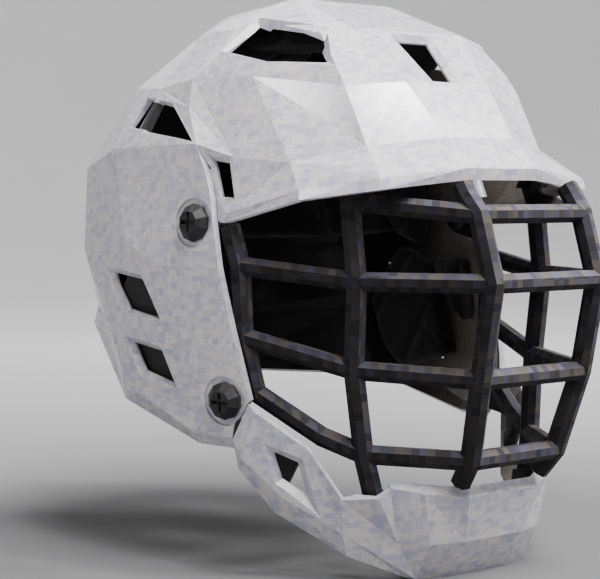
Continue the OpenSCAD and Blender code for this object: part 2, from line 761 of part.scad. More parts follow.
module crown_pads() color(foam) {
    pad(between(crown_top, crown_mid, 0.3, 0.97));
    pad(between(crown_top, spine_a, 0.3, 0.97));
    pad([spine_a, spine_b, flip_x(spine_b), flip_x(spine_a)], 0.9, 0.78);
    on_both_sides() {
        pad([crest_b, back_a, spine_b], 0.8, 0.62);
        pad([seam_vent, back_a, crest_b], 0.75, 0.6, pad_t * 0.8);
    }
}

module brow_pad() color(foam) pad(between(crown_low, brow_in, 0, 1), 0.88, 0.74, pad_t * 0.8);

module left_side_pads() color(foam) {
    pad([side_vent, mix(side_high, side_vent, 0.2), mix(ear_front, ear_mid, 0.7), ear_rear],
        0.86, 0.72);
    pad([temple_rear, temple_high, panel_front], 0.8, 0.62, pad_t * 0.8);
    pad([side_vent, ear_rear, back_c, back_b], 0.8, 0.66);
    pad([ear_rear, ear_front, mix(ear_front, jaw_mid, 0.75), foot_rear, flare_low, flare_high],
        0.86, 0.76, pad_t * 0.7);
}

module right_side_pads() mirror([1, 0, 0]) left_side_pads();

module left_jaw_pad() color(foam)
    pad([mix(ear_front, edge_d, 0.05), mix(ear_front, edge_d, 0.62),
        mix(jaw_high, ear_front, 0.2), mix(jaw_high, ear_front, 0.35)], 0.95, 0.75);

module right_jaw_pad() mirror([1, 0, 0]) left_jaw_pad();

module rear_pads() color(foam) {
    pad([spine_c, spine_d, flip_x(spine_d), flip_x(spine_c)], 0.88, 0.74);
    on_both_sides() pad([back_b, back_c, spine_d, spine_c], 0.8, 0.64);
}

module chin_pads() color(foam) {
    pad(between(beak_front, beak_front_crease, 0, 1), 0.85, 0.7, pad_t * 0.7);
    on_both_sides() pad([mix(arm_step_top, arm_ridge_mid, 0.45), arm_ridge_mid, arm_crease,
        mix(arm_step_low, arm_crease, 0.5)], 0.86, 0.72, pad_t * 0.4);
}

// The dial and the nape cradle, in the frame of the facet low on the back
dial_axis = unit(cross([1, 0, 0], [0, spine_e.y - spine_d.y, spine_e.z - spine_d.z]));
dial_seat = [0, (spine_d.y + spine_e.y) / 2, (spine_d.z + spine_e.z) / 2];
rod_out = 24;
rod_head_t = 2.4;
housing_t = 4;
housing_d = 18;
collar_t = 2;
collar_d = spindle_d + 5;
cradle_t = 7;
cradle_h = 26;
cradle_r = 95;
cradle_back = wall + housing_t + collar_t + 1.2;
// How much smaller the nape pad is than the cradle that it is glued to
nape_step = 3;
// The dial's rim, its grip notches and the dish in its face
rim_share = 0.7;
rim_slope = 2.5;
notch_d = 6;
notch_out = 1.6;
notch_turn = 36;
dish_depth = 1.5;
rod_end = cradle_back + cradle_t + cradle_travel - 1;

module dial_place() facing(dial_seat, dial_axis) children();
module rod_place() dial_place() translate([0, rod_out, 0]) children();

module fit_dial() color(black) dial_place() {
    difference() {
        union() {
            round_bar(dial_d, run_gap, dial_t * rim_share);
            translate([0, 0, dial_t * rim_share]) cylinder(d1 = dial_d, d2 = dial_d - 2 * rim_slope,
                h = dial_t * (1 - rim_share), $fn = round_fn);
        }
        for (turn = [0:notch_turn:359]) rotate(turn) translate([dial_d / 2 + notch_out, 0, -1])
            cylinder(d = notch_d, h = dial_t + 2, $fn = 24);
        round_bar(dial_d / 2, dial_t - dish_depth, dial_t + 1);
    }
    round_bar(spindle_d, -rod_end, dial_t / 2);
    round_bar(collar_d, -wall - housing_t - run_gap - collar_t, -wall - housing_t - run_gap);
}

module dial_housing() color(black) dial_place() difference() {
    hull() for (y = [-rod_out, rod_out]) translate([0, y, 0])
        round_bar(housing_d, -wall - housing_t, -wall - seat_gap);
    bore(spindle_d + 2 * run_gap);
    for (y = [-rod_out, rod_out]) translate([0, y, 0]) bore(rod_d + 2 * shank_gap);
}

module guide_rods() color(steel) on_both_sides() rod_place() {
    round_bar(rod_d, -rod_end, shank_root);
    round_bar(rod_d * 2, seat_gap, seat_gap + rod_head_t);
}

// A curved bar that bends round the nape between two radii
module nape_arc(r_out, thick, width, tall) {
    translate([0, 0, -cradle_back - cradle_r]) intersection() {
        rotate([0, 90, 0]) difference() {
            cylinder(r = r_out, h = tall, center = true, $fn = 128);
            cylinder(r = r_out - thick, h = tall + 2, center = true, $fn = 128);
        }
        translate([-tall, -width / 2, 0]) cube([tall * 2, width, r_out + 1]);
    }
}

module nape_bores(gap) {
    bore_low = -cradle_back - cradle_t - nape_pad_t - 4;
    round_bar(spindle_d + 2 * gap, bore_low, 0);
    for (y = [-rod_out, rod_out]) translate([0, y, 0]) round_bar(rod_d + 2 * gap, bore_low, 0);
}

module nape_cradle() color(black) dial_place() difference() {
    nape_arc(cradle_r, cradle_t, cradle_w, cradle_h);
    nape_bores(run_gap);
}

module nape_pad() color(foam) dial_place() difference() {
    nape_arc(cradle_r - cradle_t - pad_glue, nape_pad_t, cradle_w - 2 * nape_step,
        cradle_h - nape_step);
    nape_bores(1);
}

front_shell();
rear_shell();
chin_guard();
cage_side_bars();
cage_top_bar();
cage_upper_bar();
cage_middle_bar();
cage_lower_bar();
cage_outer_uprights();
cage_inner_uprights();
upper_cage_tabs();
lower_cage_tabs();
upper_cage_screws();
lower_cage_screws();
cage_nuts();
visor_clips();
chin_clips();
chin_guard_brackets();
chin_guard_screws();
crown_joiner();
crown_rivets();
crown_pads();
brow_pad();
right_side_pads();
left_side_pads();
right_jaw_pad();
left_jaw_pad();
rear_pads();
chin_pads();
dial_housing();
guide_rods();
fit_dial();
nape_cradle();
nape_pad();
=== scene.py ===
"""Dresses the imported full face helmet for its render.

The CAD parts keep their shapes and get a finish: mottled shells, a banded cage, black mouldings and
steel. The plain blocks of the liner are replaced by soft foam blocks. A studio with a pale sweep,
soft lights and a camera is built round the helmet. Sizes are in metres, angles in degrees.
"""

import logging
import math
from collections.abc import Sequence
from dataclasses import dataclass, field
from enum import Enum

import bmesh
import bpy
import numpy as np
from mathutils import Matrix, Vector

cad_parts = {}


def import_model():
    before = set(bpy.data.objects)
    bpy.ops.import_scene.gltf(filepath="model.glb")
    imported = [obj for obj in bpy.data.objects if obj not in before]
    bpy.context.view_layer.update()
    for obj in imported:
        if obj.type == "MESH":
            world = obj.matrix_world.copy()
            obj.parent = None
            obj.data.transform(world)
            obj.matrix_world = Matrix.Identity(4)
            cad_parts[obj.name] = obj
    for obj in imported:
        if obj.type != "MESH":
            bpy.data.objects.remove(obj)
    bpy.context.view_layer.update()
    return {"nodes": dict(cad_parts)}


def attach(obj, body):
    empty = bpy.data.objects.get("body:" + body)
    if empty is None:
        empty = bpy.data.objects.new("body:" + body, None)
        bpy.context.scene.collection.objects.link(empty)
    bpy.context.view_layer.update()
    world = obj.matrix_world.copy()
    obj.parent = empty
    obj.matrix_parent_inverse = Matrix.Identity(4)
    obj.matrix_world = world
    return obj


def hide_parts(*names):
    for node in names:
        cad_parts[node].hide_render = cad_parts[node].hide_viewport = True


LOG = logging.getLogger("helmet")
Socket = bpy.types.NodeSocket
Nodes = dict[str, bpy.types.Object]
Triple = tuple[float, float, float]
# Start and end of a range, and what each of them becomes
Ramp = tuple[float, float, float, float]
MM = 0.001
# The least length that is divided by, in metres
TINY = 1e-6
# The points from which the shells' faces look outwards or inwards
HEAD_MIDDLE = (0.0, 0.015, 0.150)
CHIN_MIDDLE = (0.0, -0.040, 0.060)
# Middle and direction of the strut in the rear vent whose x is above 0
STRUT_MIDDLE = (0.0965, 0.0375, 0.2385)
STRUT_WAY = (0.416, 0.178, -0.892)
# The cage bars' two band colours and the darker one that some bands come close to
WIRE_COOL = (0.215, 0.21, 0.255)
WIRE_WARM = (0.24, 0.222, 0.21)
WIRE_DEEP = (0.1, 0.096, 0.105)
# Where the faces with the most painted light look, on the cage, screws and black mouldings; faces turned
# away get painted shade
PAINTED_LIGHT_WAY = (0.45, -0.42, 0.788)
# Where the backdrop is a darker grey
DIM_SIDE = (-0.82, -0.57, 0.0)
# A direction close to straight up that no facet faces exactly
NEARLY_UP = (0.0, 0.05, 0.9987)


class Body(Enum):
    """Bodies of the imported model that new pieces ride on."""

    HELMET = "helmet"
    CRADLE = "nape_cradle"


class Slot(Enum):
    """Material slots of the record."""

    FOAM = "foam"


class Shader:
    """Builds one node material with short, typed calls.

    Attributes:
        material: The material that is being built.
        tree: Its node tree.
        surface: Its Principled BSDF node.
        position: The place on the piece, in metres.
        normal: The direction that the surface faces.
    """

    def __init__(self, name: str, roughness: float, metallic: float = 0.0) -> None:
        """Starts a material.

        Args:
            name: The finish's name.
            roughness: Roughness where the finish has no roughness map.
            metallic: How metallic the finish is.
        """
        self.material = bpy.data.materials.new(name)
        self.material.use_nodes = True
        self.tree = self.material.node_tree
        self.surface = self.tree.nodes["Principled BSDF"]
        self.surface.inputs["Roughness"].default_value = roughness
        self.surface.inputs["Metallic"].default_value = metallic
        coordinates = self.tree.nodes.new("ShaderNodeTexCoord")
        self.position = coordinates.outputs["Object"]
        self.normal = coordinates.outputs["Normal"]

    def link(self, value: object, socket: Socket) -> None:
        """Gives a socket a value.

        Args:
            value: Another node's output, or a plain number or vector.
            socket: The input that takes it.
        """
        if isinstance(value, Socket):
            self.tree.links.new(value, socket)
        else:
            socket.default_value = value

    def math(self, operation: str, *values: object) -> Socket:
        """Adds a Math node.

        Args:
            operation: The node's operation.
            *values: Its inputs.

        Returns:
            The node's output.
        """
        node = self.tree.nodes.new("ShaderNodeMath")
        node.operation = operation
        for value, socket in zip(values, node.inputs):
            self.link(value, socket)
        return node.outputs[0]

    def vector(self, operation: str, *values: object) -> Socket:
        """Adds a Vector Math node.

        Args:
            operation: The node's operation.
            *values: Its inputs.

        Returns:
            The node's number for a dot product or length, or else its vector.
        """
        node = self.tree.nodes.new("ShaderNodeVectorMath")
        node.operation = operation
        for value, socket in zip(values, node.inputs):
            self.link(value, socket)
        number = operation in ("DOT_PRODUCT", "LENGTH", "DISTANCE")
        return node.outputs["Value" if number else "Vector"]

    def combine(self, x: object, y: object, z: object) -> Socket:
        """Joins three numbers into a vector.

        Args:
            x: First number.
            y: Second number.
            z: Third number.

        Returns:
            The vector.
        """
        node = self.tree.nodes.new("ShaderNodeCombineXYZ")
        for value, socket in zip((x, y, z), node.inputs):
            self.link(value, socket)
        return node.outputs[0]

    def noise(self, at: object, scale: float, detail: float = 2.0) -> Socket:
        """Adds a smooth noise.

        Args:
            at: Where it is read.
            scale: How fine it is.
            detail: How many finer layers it has.

        Returns:
            A number around one half.
        """
        node = self.tree.nodes.new("ShaderNodeTexNoise")
        node.inputs["Scale"].default_value = scale
        node.inputs["Detail"].default_value = detail
        self.link(at, node.inputs["Vector"])
        return node.outputs["Fac"]

    def speckle(self, at: object) -> Socket:
        """Adds a value from 0 to 1 that is unrelated from cell to cell.

        Args:
            at: A vector that is the same over each cell.

        Returns:
            The value.
        """
        node = self.tree.nodes.new("ShaderNodeTexWhiteNoise")
        node.noise_dimensions = "3D"
        self.link(at, node.inputs["Vector"])
        return node.outputs["Value"]

    def remap(self, value: object, low: float, high: float, to_low: float, to_high: float) -> Socket:
        """Maps one range of numbers to another, held at its ends.

        Args:
            value: The number.
            low: Start of the range.
            high: End of the range.
            to_low: What the start becomes.
            to_high: What the end becomes.

        Returns:
            The mapped number.
        """
        node = self.tree.nodes.new("ShaderNodeMapRange")
        for at, given in enumerate((value, low, high, to_low, to_high)):
            self.link(given, node.inputs[at])
        return node.outputs[0]

    def mix(self, share: object, first: object, second: object, how: str = "MIX") -> Socket:
        """Mixes two colours.

        Args:
            share: How much of the second colour.
            first: First colour.
            second: Second colour.
            how: The blend type.

        Returns:
            The mixed colour.
        """
        node = self.tree.nodes.new("ShaderNodeMix")
        node.data_type = "RGBA"
        node.blend_type = how
        self.link(share, node.inputs["Factor"])
        self.link(first, node.inputs["A"])
        self.link(second, node.inputs["B"])
        return node.outputs["Result"]

    def shade(self, colour: object, amount: object) -> Socket:
        """Makes a colour lighter or darker without changing its hue.

        Args:
            colour: The colour.
            amount: What it is multiplied by.

        Returns:
            The shaded colour.
        """
        return self.mix(1.0, colour, self.combine(amount, amount, amount), "MULTIPLY")

    def facet_grid(self, size: float) -> tuple[Socket, Socket]:
        """Lays a square grid in the plane of every flat facet.

        Args:
            size: Side of one square in metres.

        Returns:
            Position along the facet and up it, counted in squares.
        """
        along = self.vector("NORMALIZE", self.vector("CROSS_PRODUCT", self.normal, NEARLY_UP))
        up = self.vector("CROSS_PRODUCT", self.normal, along)
        step = 1.0 / size
        across, rise = (self.math("MULTIPLY", self.vector("DOT_PRODUCT", self.position, axis), step)
                        for axis in (along, up))
        return across, rise

    def cells(self, u: object, v: object, wide: float, tall: float) -> Socket:
        """Groups a grid's squares into oblong cells.

        Args:
            u: Position along the facet.
            v: Position up the facet.
            wide: Squares that a cell is wide.
            tall: Squares that a cell is tall.

        Returns:
            A vector that is the same over each cell.
        """
        return self.combine(self.math("FLOOR", self.math("DIVIDE", u, wide)),
                            self.math("FLOOR", self.math("DIVIDE", v, tall)), 0.0)

    def bump(self, height: object, strength: float, distance: float) -> None:
        """Raises the surface by a height map.

        Args:
            height: The map, from 0 to 1.
            strength: How strongly it shows.
            distance: Height of the map's full range in metres.
        """
        node = self.tree.nodes.new("ShaderNodeBump")
        node.inputs["Strength"].default_value = strength
        node.inputs["Distance"].default_value = distance
        self.link(height, node.inputs["Height"])
        self.link(node.outputs[0], self.surface.inputs["Normal"])

    def colour(self, value: object) -> None:
        """Sets the base colour.

        Args:
            value: A colour or another node's output.
        """
        self.link(value, self.surface.inputs["Base Color"])


def rgb(red: float, green: float, blue: float) -> tuple[float, float, float, float]:
    """Gives a display colour in linear light.

    Args:
        red: Red from 0 to 1 as a display shows it.
        green: Green in the same way.
        blue: Blue in the same way.

    Returns:
        The linear colour with full alpha.
    """
    linear = [c / 12.92 if c <= 0.04045 else ((c + 0.055) / 1.055) ** 2.4 for c in (red, green, blue)]
    return (*linear, 1.0)


@dataclass(frozen=True)
class MottledShell:
    """White moulded shell with a fine woven mottling and painted shade on its inner face, darker towards
    the back.

    Attributes:
        name: The finish's name.
        middle: The point from which its faces look outwards or inwards.
        base: The shell's main colour.
        cool: Colour of the blots.
        warm: Colour of the clouds between them.
        inner: Colour of the painted shade on the inner face at the back.
        margin: Colour of the inner face at the front, where the painted shade is lightest.
        strut: Colour of the slim struts in the rear vents.
        square: Side of the mottling's squares.
        thread: How many squares long one thread of the weave is.
        large: Squares that a large blot is wide and tall.
        small: Squares that a small blot is wide and tall.
        cloud: Squares that a step of the clouds is wide and tall.
        cloud_step: How much the clouds change from step to step.
        weave_share: How much of the weave is added to the clouds and to the grain.
        sway: Squares by which the weave shifts the large and the small blots' edges.
        large_blots: How strongly a large blot shows for each value.
        small_blots: The same for a small blot.
        clouds: How warm the shell is for each value of the clouds.
        weave_blots: How much the weave holds a blot back.
        weave_tone: How bright the weave makes the outer face.
        weave_inner: How dark the weave makes the inner face.
        inner_shadow: How bright its darkest threads are beside its own colour.
        turned: Which directions belong to the inner face.
        front: Depth at which the inner face has its front colour.
        back: Depth from which it has its back colour.
        strut_reach: Half the strut's width and half its length.
        strut_edge: Distance over which the strut's colour ends.
        roughness: The moulding's roughness.
        weave_rough: How much smoother and rougher the weave makes it.
        inner_rough: How much rougher the inner face is.
        specular: How strongly the moulding itself shines.
        coat: How strong the clear coat is.
        coat_roughness: The clear coat's roughness.
        grain: How fine the moulding's grain is.
        relief: Height of the grain.
        relief_strength: How strongly the grain shows.
    """

    name: str
    middle: Triple
    base: Triple = (0.835, 0.825, 0.855)
    cool: Triple = (0.68, 0.686, 0.8)
    warm: Triple = (0.885, 0.85, 0.835)
    inner: Triple = (0.1, 0.093, 0.09)
    margin: Triple = (0.78, 0.74, 0.7)
    strut: Triple = (0.17, 0.165, 0.175)
    square: float = 0.6 * MM
    thread: float = 11.0
    large: tuple[float, float] = (9.0, 5.0)
    small: tuple[float, float] = (5.0, 6.0)
    cloud: float = 2.0
    cloud_step: float = 0.1
    weave_share: float = 0.3
    sway: tuple[float, float] = (3.0, 2.0)
    large_blots: Ramp = (0.55, 0.9, 0.0, 0.9)
    small_blots: Ramp = (0.62, 0.95, 0.0, 0.7)
    clouds: Ramp = (0.52, 0.78, 0.0, 1.0)
    weave_blots: Ramp = (0.0, 0.8, 0.2, 1.0)
    weave_tone: Ramp = (0.1, 0.9, 0.84, 1.06)
    weave_inner: Ramp = (0.1, 0.9, 0.35, 0.0)
    inner_shadow: float = 0.5
    turned: Ramp = (-0.36, -0.3, 1.0, 0.0)
    front: float = -40.0 * MM
    back: float = 62.0 * MM
    strut_reach: tuple[float, float] = (4.2 * MM, 8.0 * MM)
    strut_edge: float = 0.6 * MM
    roughness: float = 0.4
    weave_rough: tuple[float, float] = (0.04, 0.06)
    inner_rough: float = 0.4
    specular: float = 0.3
    coat: float = 0.8
    coat_roughness: float = 0.13
    grain: float = 900.0
    relief: float = 0.1 * MM
    relief_strength: float = 0.05

    def make(self) -> bpy.types.Material:
        """Builds the finish.

        Returns:
            The node material.
        """
        s = Shader(self.name, self.roughness)
        u, v = s.facet_grid(self.square)
        lying = s.speckle(s.cells(u, v, self.thread, 1.0))
        standing = s.speckle(s.cells(u, v, 1.0, self.thread))
        weave = s.math("MULTIPLY", s.math("ADD", lying, standing), 0.5)
        inside = self._inside(s)
        outer = self._outer_colour(s, (u, v), (lying, standing), weave)
        # The inner faces take the colour with painted shade.
        wall = s.mix(inside, outer, self._inner_painted_shade(s, weave))
        s.colour(s.mix(self._strut(s), wall, rgb(*self.strut)))
        smoother, rougher = self.weave_rough
        rough = s.remap(weave, 0.0, 1.0, self.roughness - smoother, self.roughness + rougher)
        s.link(s.math("ADD", rough, s.math("MULTIPLY", inside, self.inner_rough)),
               s.surface.inputs["Roughness"])
        s.surface.inputs["Specular IOR Level"].default_value = self.specular
        s.surface.inputs["Coat Weight"].default_value = self.coat
        s.surface.inputs["Coat Roughness"].default_value = self.coat_roughness
        woven = s.math("MULTIPLY", weave, self.weave_share)
        height = s.math("ADD", s.noise(s.position, self.grain), woven)
        s.bump(height, self.relief_strength, self.relief)
        return s.material

    def _outer_colour(self, s: Shader, grid: tuple[Socket, Socket], threads: tuple[Socket, Socket],
                      weave: Socket) -> Socket:
        """Lays clouds, blots and the weave over the outer face.

        Args:
            s: The finish.
            grid: Position along and up the facet, in squares.
            threads: Tone of the lying and of the standing thread.
            weave: Tone of both threads together.

        Returns:
            The outer face's colour.
        """
        (u, v), (lying, standing) = grid, threads
        shifted_u = s.math("ADD", u, s.math("MULTIPLY", lying, self.sway[0]))
        shifted_v = s.math("ADD", v, s.math("MULTIPLY", standing, self.sway[1]))
        large = s.speckle(s.cells(shifted_u, v, *self.large))
        small = s.speckle(s.cells(u, shifted_v, *self.small))
        step = s.vector("MULTIPLY", s.cells(u, v, self.cloud, self.cloud), (self.cloud_step,) * 3)
        cloud = s.math("ADD", s.noise(step, 1.0, 1.0), s.math("MULTIPLY", weave, self.weave_share))
        blot = s.math("ADD", s.remap(large, *self.large_blots), s.remap(small, *self.small_blots))
        colour = s.mix(s.remap(cloud, *self.clouds), rgb(*self.base), rgb(*self.warm))
        shown = s.math("MULTIPLY", blot, s.remap(weave, *self.weave_blots))
        colour = s.mix(shown, colour, rgb(*self.cool))
        return s.shade(colour, s.remap(weave, *self.weave_tone))

    def _inside(self, s: Shader) -> Socket:
        """Finds the faces that look towards the head.

        Args:
            s: The finish.

        Returns:
            1 on the inner faces and 0 on the outer ones.
        """
        outward = s.vector("NORMALIZE", s.vector("SUBTRACT", s.position, self.middle))
        return s.remap(s.vector("DOT_PRODUCT", s.normal, outward), *self.turned)

    def _inner_painted_shade(self, s: Shader, weave: Socket) -> Socket:
        """Paints shade on the inner face, fading from light at the front to dark at the back.

        Args:
            s: The finish.
            weave: Tone of the weave.

        Returns:
            The inner face's colour with its painted shade.
        """
        depth = s.vector("DOT_PRODUCT", s.position, (0.0, 1.0, 0.0))
        front = s.remap(depth, self.front, self.back, 1.0, 0.0)
        colour = s.mix(s.math("MULTIPLY", front, front), rgb(*self.inner), rgb(*self.margin))
        shadow = rgb(*(self.inner_shadow * c for c in self.inner))
        return s.mix(s.remap(weave, *self.weave_inner), colour, shadow)

    def _strut(self, s: Shader) -> Socket:
        """Finds the slim strut that divides each rear vent.

        Args:
            s: The finish.

        Returns:
            1 on the two struts and 0 elsewhere.
        """
        half_width, half_length = self.strut_reach
        offset = s.vector("SUBTRACT", s.vector("ABSOLUTE", s.position), STRUT_MIDDLE)
        along = s.math("ABSOLUTE", s.vector("DOT_PRODUCT", offset, STRUT_WAY))
        aside = s.vector("LENGTH", s.vector("CROSS_PRODUCT", offset, STRUT_WAY))
        return s.math("MULTIPLY", s.remap(aside, half_width, half_width + self.strut_edge, 1.0, 0.0),
                      s.remap(along, half_length, half_length + self.strut_edge, 1.0, 0.0))


@dataclass(frozen=True)
class BandedCoat:
    """Charcoal coating in short bands from lavender grey to brown grey, with painted light and shade by
    facing.

    Attributes:
        name: The finish's name.
        cool: Colour of about half of the bands.
        warm: Colour of the others.
        deep: The darker colour that some bands come close to.
        wide: Length of a band along a facet.
        tall: Its length up a facet.
        roughness: The coating's roughness.
        gloss: How strongly it shines.
        other: Shift to the cells that the depths are read from, so that they don't follow the hues.
        hues: Which bands are cool and which are warm.
        depths: How close to the darker colour a band comes.
        depth_rough: How much smoother and rougher the depths make it.
        painted_light_facings: The facings that get the most painted shade and the most painted light.
        shaded: How bright the faces with the most painted shade are.
        painted_light_tone: How bright the faces with the most painted light are.
        grain: How fine the coating's grain is.
        relief: Height of the grain.
        relief_strength: How strongly the grain shows.
    """

    name: str
    cool: Triple
    warm: Triple
    deep: Triple
    wide: float = 4.0 * MM
    tall: float = 4.0 * MM
    roughness: float = 0.6
    gloss: float = 0.15
    other: Triple = (37.0, 11.0, 5.0)
    hues: Ramp = (0.45, 0.55, 0.0, 1.0)
    depths: Ramp = (0.3, 1.0, 0.0, 0.75)
    depth_rough: tuple[float, float] = (0.06, 0.08)
    painted_light_facings: tuple[float, float] = (-0.05, 0.8)
    shaded: float = 0.5
    painted_light_tone: float = 2.35
    grain: float = 1400.0
    relief: float = 0.15 * MM
    relief_strength: float = 0.25

    def make(self) -> bpy.types.Material:
        """Builds the finish.

        Returns:
            The node material.
        """
        s = Shader(self.name, self.roughness)
        u, v = s.facet_grid(1.0 * MM)
        band = s.cells(u, v, self.wide / MM, self.tall / MM)
        hue = s.remap(s.speckle(band), *self.hues)
        depth = s.speckle(s.vector("ADD", band, self.other))
        tint = s.mix(hue, rgb(*self.cool), rgb(*self.warm))
        tint = s.mix(s.remap(depth, *self.depths), tint, rgb(*self.deep))
        # Painted light and shade: faces that look towards PAINTED_LIGHT_WAY are made brighter and the
        # others darker.
        facing = s.vector("DOT_PRODUCT", s.normal, PAINTED_LIGHT_WAY)
        s.colour(s.shade(tint, s.remap(facing, *self.painted_light_facings, self.shaded, self.painted_light_tone)))
        smoother, rougher = self.depth_rough
        s.link(s.remap(depth, 0.0, 1.0, self.roughness - smoother, self.roughness + rougher),
               s.surface.inputs["Roughness"])
        s.surface.inputs["Specular IOR Level"].default_value = self.gloss
        s.bump(s.noise(s.position, self.grain, 3.0), self.relief_strength, self.relief)
        return s.material


@dataclass(frozen=True)
class TurnedSteel:
    """Satin steel with fine marks from the tool.

    Attributes:
        name: The finish's name.
        colour: The steel's colour.
        roughness: Its roughness.
        marks: How fine the tool's marks are across and along.
        stains: How fine the darker stains are.
        stained: How strongly a stain shows for each value.
        stain_tone: How bright a stain is beside the steel.
        mark_rough: How much smoother and rougher the marks make it.
        relief: Height of the marks.
        relief_strength: How strongly the marks show.
    """

    name: str
    colour: Triple = (0.55, 0.55, 0.57)
    roughness: float = 0.34
    marks: Triple = (2600.0, 260.0, 260.0)
    stains: float = 160.0
    stained: Ramp = (0.35, 0.7, 0.0, 0.6)
    stain_tone: float = 0.78
    mark_rough: tuple[float, float] = (0.08, 0.12)
    relief: float = 0.05 * MM
    relief_strength: float = 0.2

    def make(self) -> bpy.types.Material:
        """Builds the finish.

        Returns:
            The node material.
        """
        s = Shader(self.name, self.roughness, 1.0)
        marks = s.noise(s.vector("MULTIPLY", s.position, self.marks), 1.0, 4.0)
        stain = s.noise(s.position, self.stains)
        darker = rgb(*(self.stain_tone * c for c in self.colour))
        s.colour(s.mix(s.remap(stain, *self.stained), rgb(*self.colour), darker))
        smoother, rougher = self.mark_rough
        s.link(s.remap(marks, 0.3, 0.7, self.roughness - smoother, self.roughness + rougher),
               s.surface.inputs["Roughness"])
        s.bump(marks, self.relief_strength, self.relief)
        return s.material


@dataclass(frozen=True)
class FoamSkin:
    """Dark knitted cover on the foam blocks.

    Attributes:
        name: The finish's name.
        light: Colour of the knit's raised loops.
        dark: Colour between them.
        loop: Length of one loop.
        knit: How raised the knit is for each sum of loop and fuzz.
        patches: How fine the lighter and darker patches are.
        patched: How light a patch is for each value.
        fuzz: How fine the fuzz is.
        roughness: The cover's roughness.
        sheen: How strongly its fibres catch the light at a slant.
        sheen_roughness: How widely they do.
        relief: Height of the knit.
        relief_strength: How strongly the knit shows.
    """

    name: str
    light: Triple = (0.08, 0.075, 0.074)
    dark: Triple = (0.032, 0.03, 0.031)
    loop: float = 1.3 * MM
    knit: Ramp = (-0.6, 1.6, 0.0, 1.0)
    patches: float = 55.0
    patched: Ramp = (0.3, 0.7, 0.45, 1.0)
    fuzz: float = 1500.0
    roughness: float = 0.9
    sheen: float = 0.25
    sheen_roughness: float = 0.5
    relief: float = 0.3 * MM
    relief_strength: float = 0.35

    def make(self) -> bpy.types.Material:
        """Builds the finish.

        Returns:
            The node material.
        """
        s = Shader(self.name, self.roughness)
        u, v = s.facet_grid(self.loop)
        rib = s.math("MULTIPLY", s.math("SINE", s.math("MULTIPLY", u, math.tau)),
                     s.math("SINE", s.math("MULTIPLY", v, math.tau)))
        patch = s.noise(s.position, self.patches, 3.0)
        fuzz = s.noise(s.position, self.fuzz)
        knit = s.remap(s.math("ADD", rib, fuzz), *self.knit)
        raised = s.math("MULTIPLY", knit, s.remap(patch, *self.patched))
        s.colour(s.mix(raised, rgb(*self.dark), rgb(*self.light)))
        s.surface.inputs["Sheen Weight"].default_value = self.sheen
        s.surface.inputs["Sheen Roughness"].default_value = self.sheen_roughness
        s.bump(knit, self.relief_strength, self.relief)
        return s.material


@dataclass(frozen=True)
class PaleSweep:
    """Pale paper of the studio floor, with a painted shadow of darker grey under the helmet.

    Attributes:
        name: The finish's name.
        painted_shadow_grey: Grey of the painted shadow on the floor under the helmet.
        far: Grey of the backdrop.
        dim: Grey of the backdrop's darker side.
        start: Distance from the middle at which the painted shadow starts to fade.
        end: Distance at which it has the backdrop's grey.
        soft_end: How softly it reaches that grey.
        side: Which directions have the backdrop's own grey and which the darker one.
        mottle: How fine the paper's clouds are.
        clouds: How bright the paper is for each value of the clouds.
        roughness: The paper's roughness.
        specular: How strongly it shines.
    """

    name: str = "pale_sweep"
    painted_shadow_grey: Triple = (0.43, 0.43, 0.435)
    far: Triple = (0.95, 0.95, 0.955)
    dim: Triple = (0.75, 0.75, 0.755)
    start: float = 0.2
    end: float = 1.5
    soft_end: float = 0.3
    side: Ramp = (0.0, 0.8, 0.0, 1.0)
    mottle: float = 9.0
    clouds: Ramp = (0.3, 0.7, 0.97, 1.0)
    roughness: float = 0.85
    specular: float = 0.1

    def make(self) -> bpy.types.Material:
        """Builds the finish.

        Returns:
            The node material.
        """
        s = Shader(self.name, self.roughness)
        away = s.remap(s.vector("LENGTH", s.position), self.start, self.end, 0.0, 1.0)
        cloud = s.remap(s.noise(s.position, self.mottle), *self.clouds)
        # Painted shadow: the floor is darker grey under the helmet and fades out to the backdrop's grey.
        painted_shadow_fade = s.math("SMOOTH_MIN", away, 1.0, self.soft_end)
        tone = s.mix(painted_shadow_fade, rgb(*self.painted_shadow_grey), rgb(*self.far))
        towards = s.vector("DOT_PRODUCT", s.vector("NORMALIZE", s.position), DIM_SIDE)
        dimmed = s.math("MULTIPLY", s.remap(towards, *self.side), away)
        tone = s.mix(dimmed, tone, rgb(*self.dim))
        s.colour(s.shade(tone, cloud))
        s.surface.inputs["Specular IOR Level"].default_value = self.specular
        return s.material


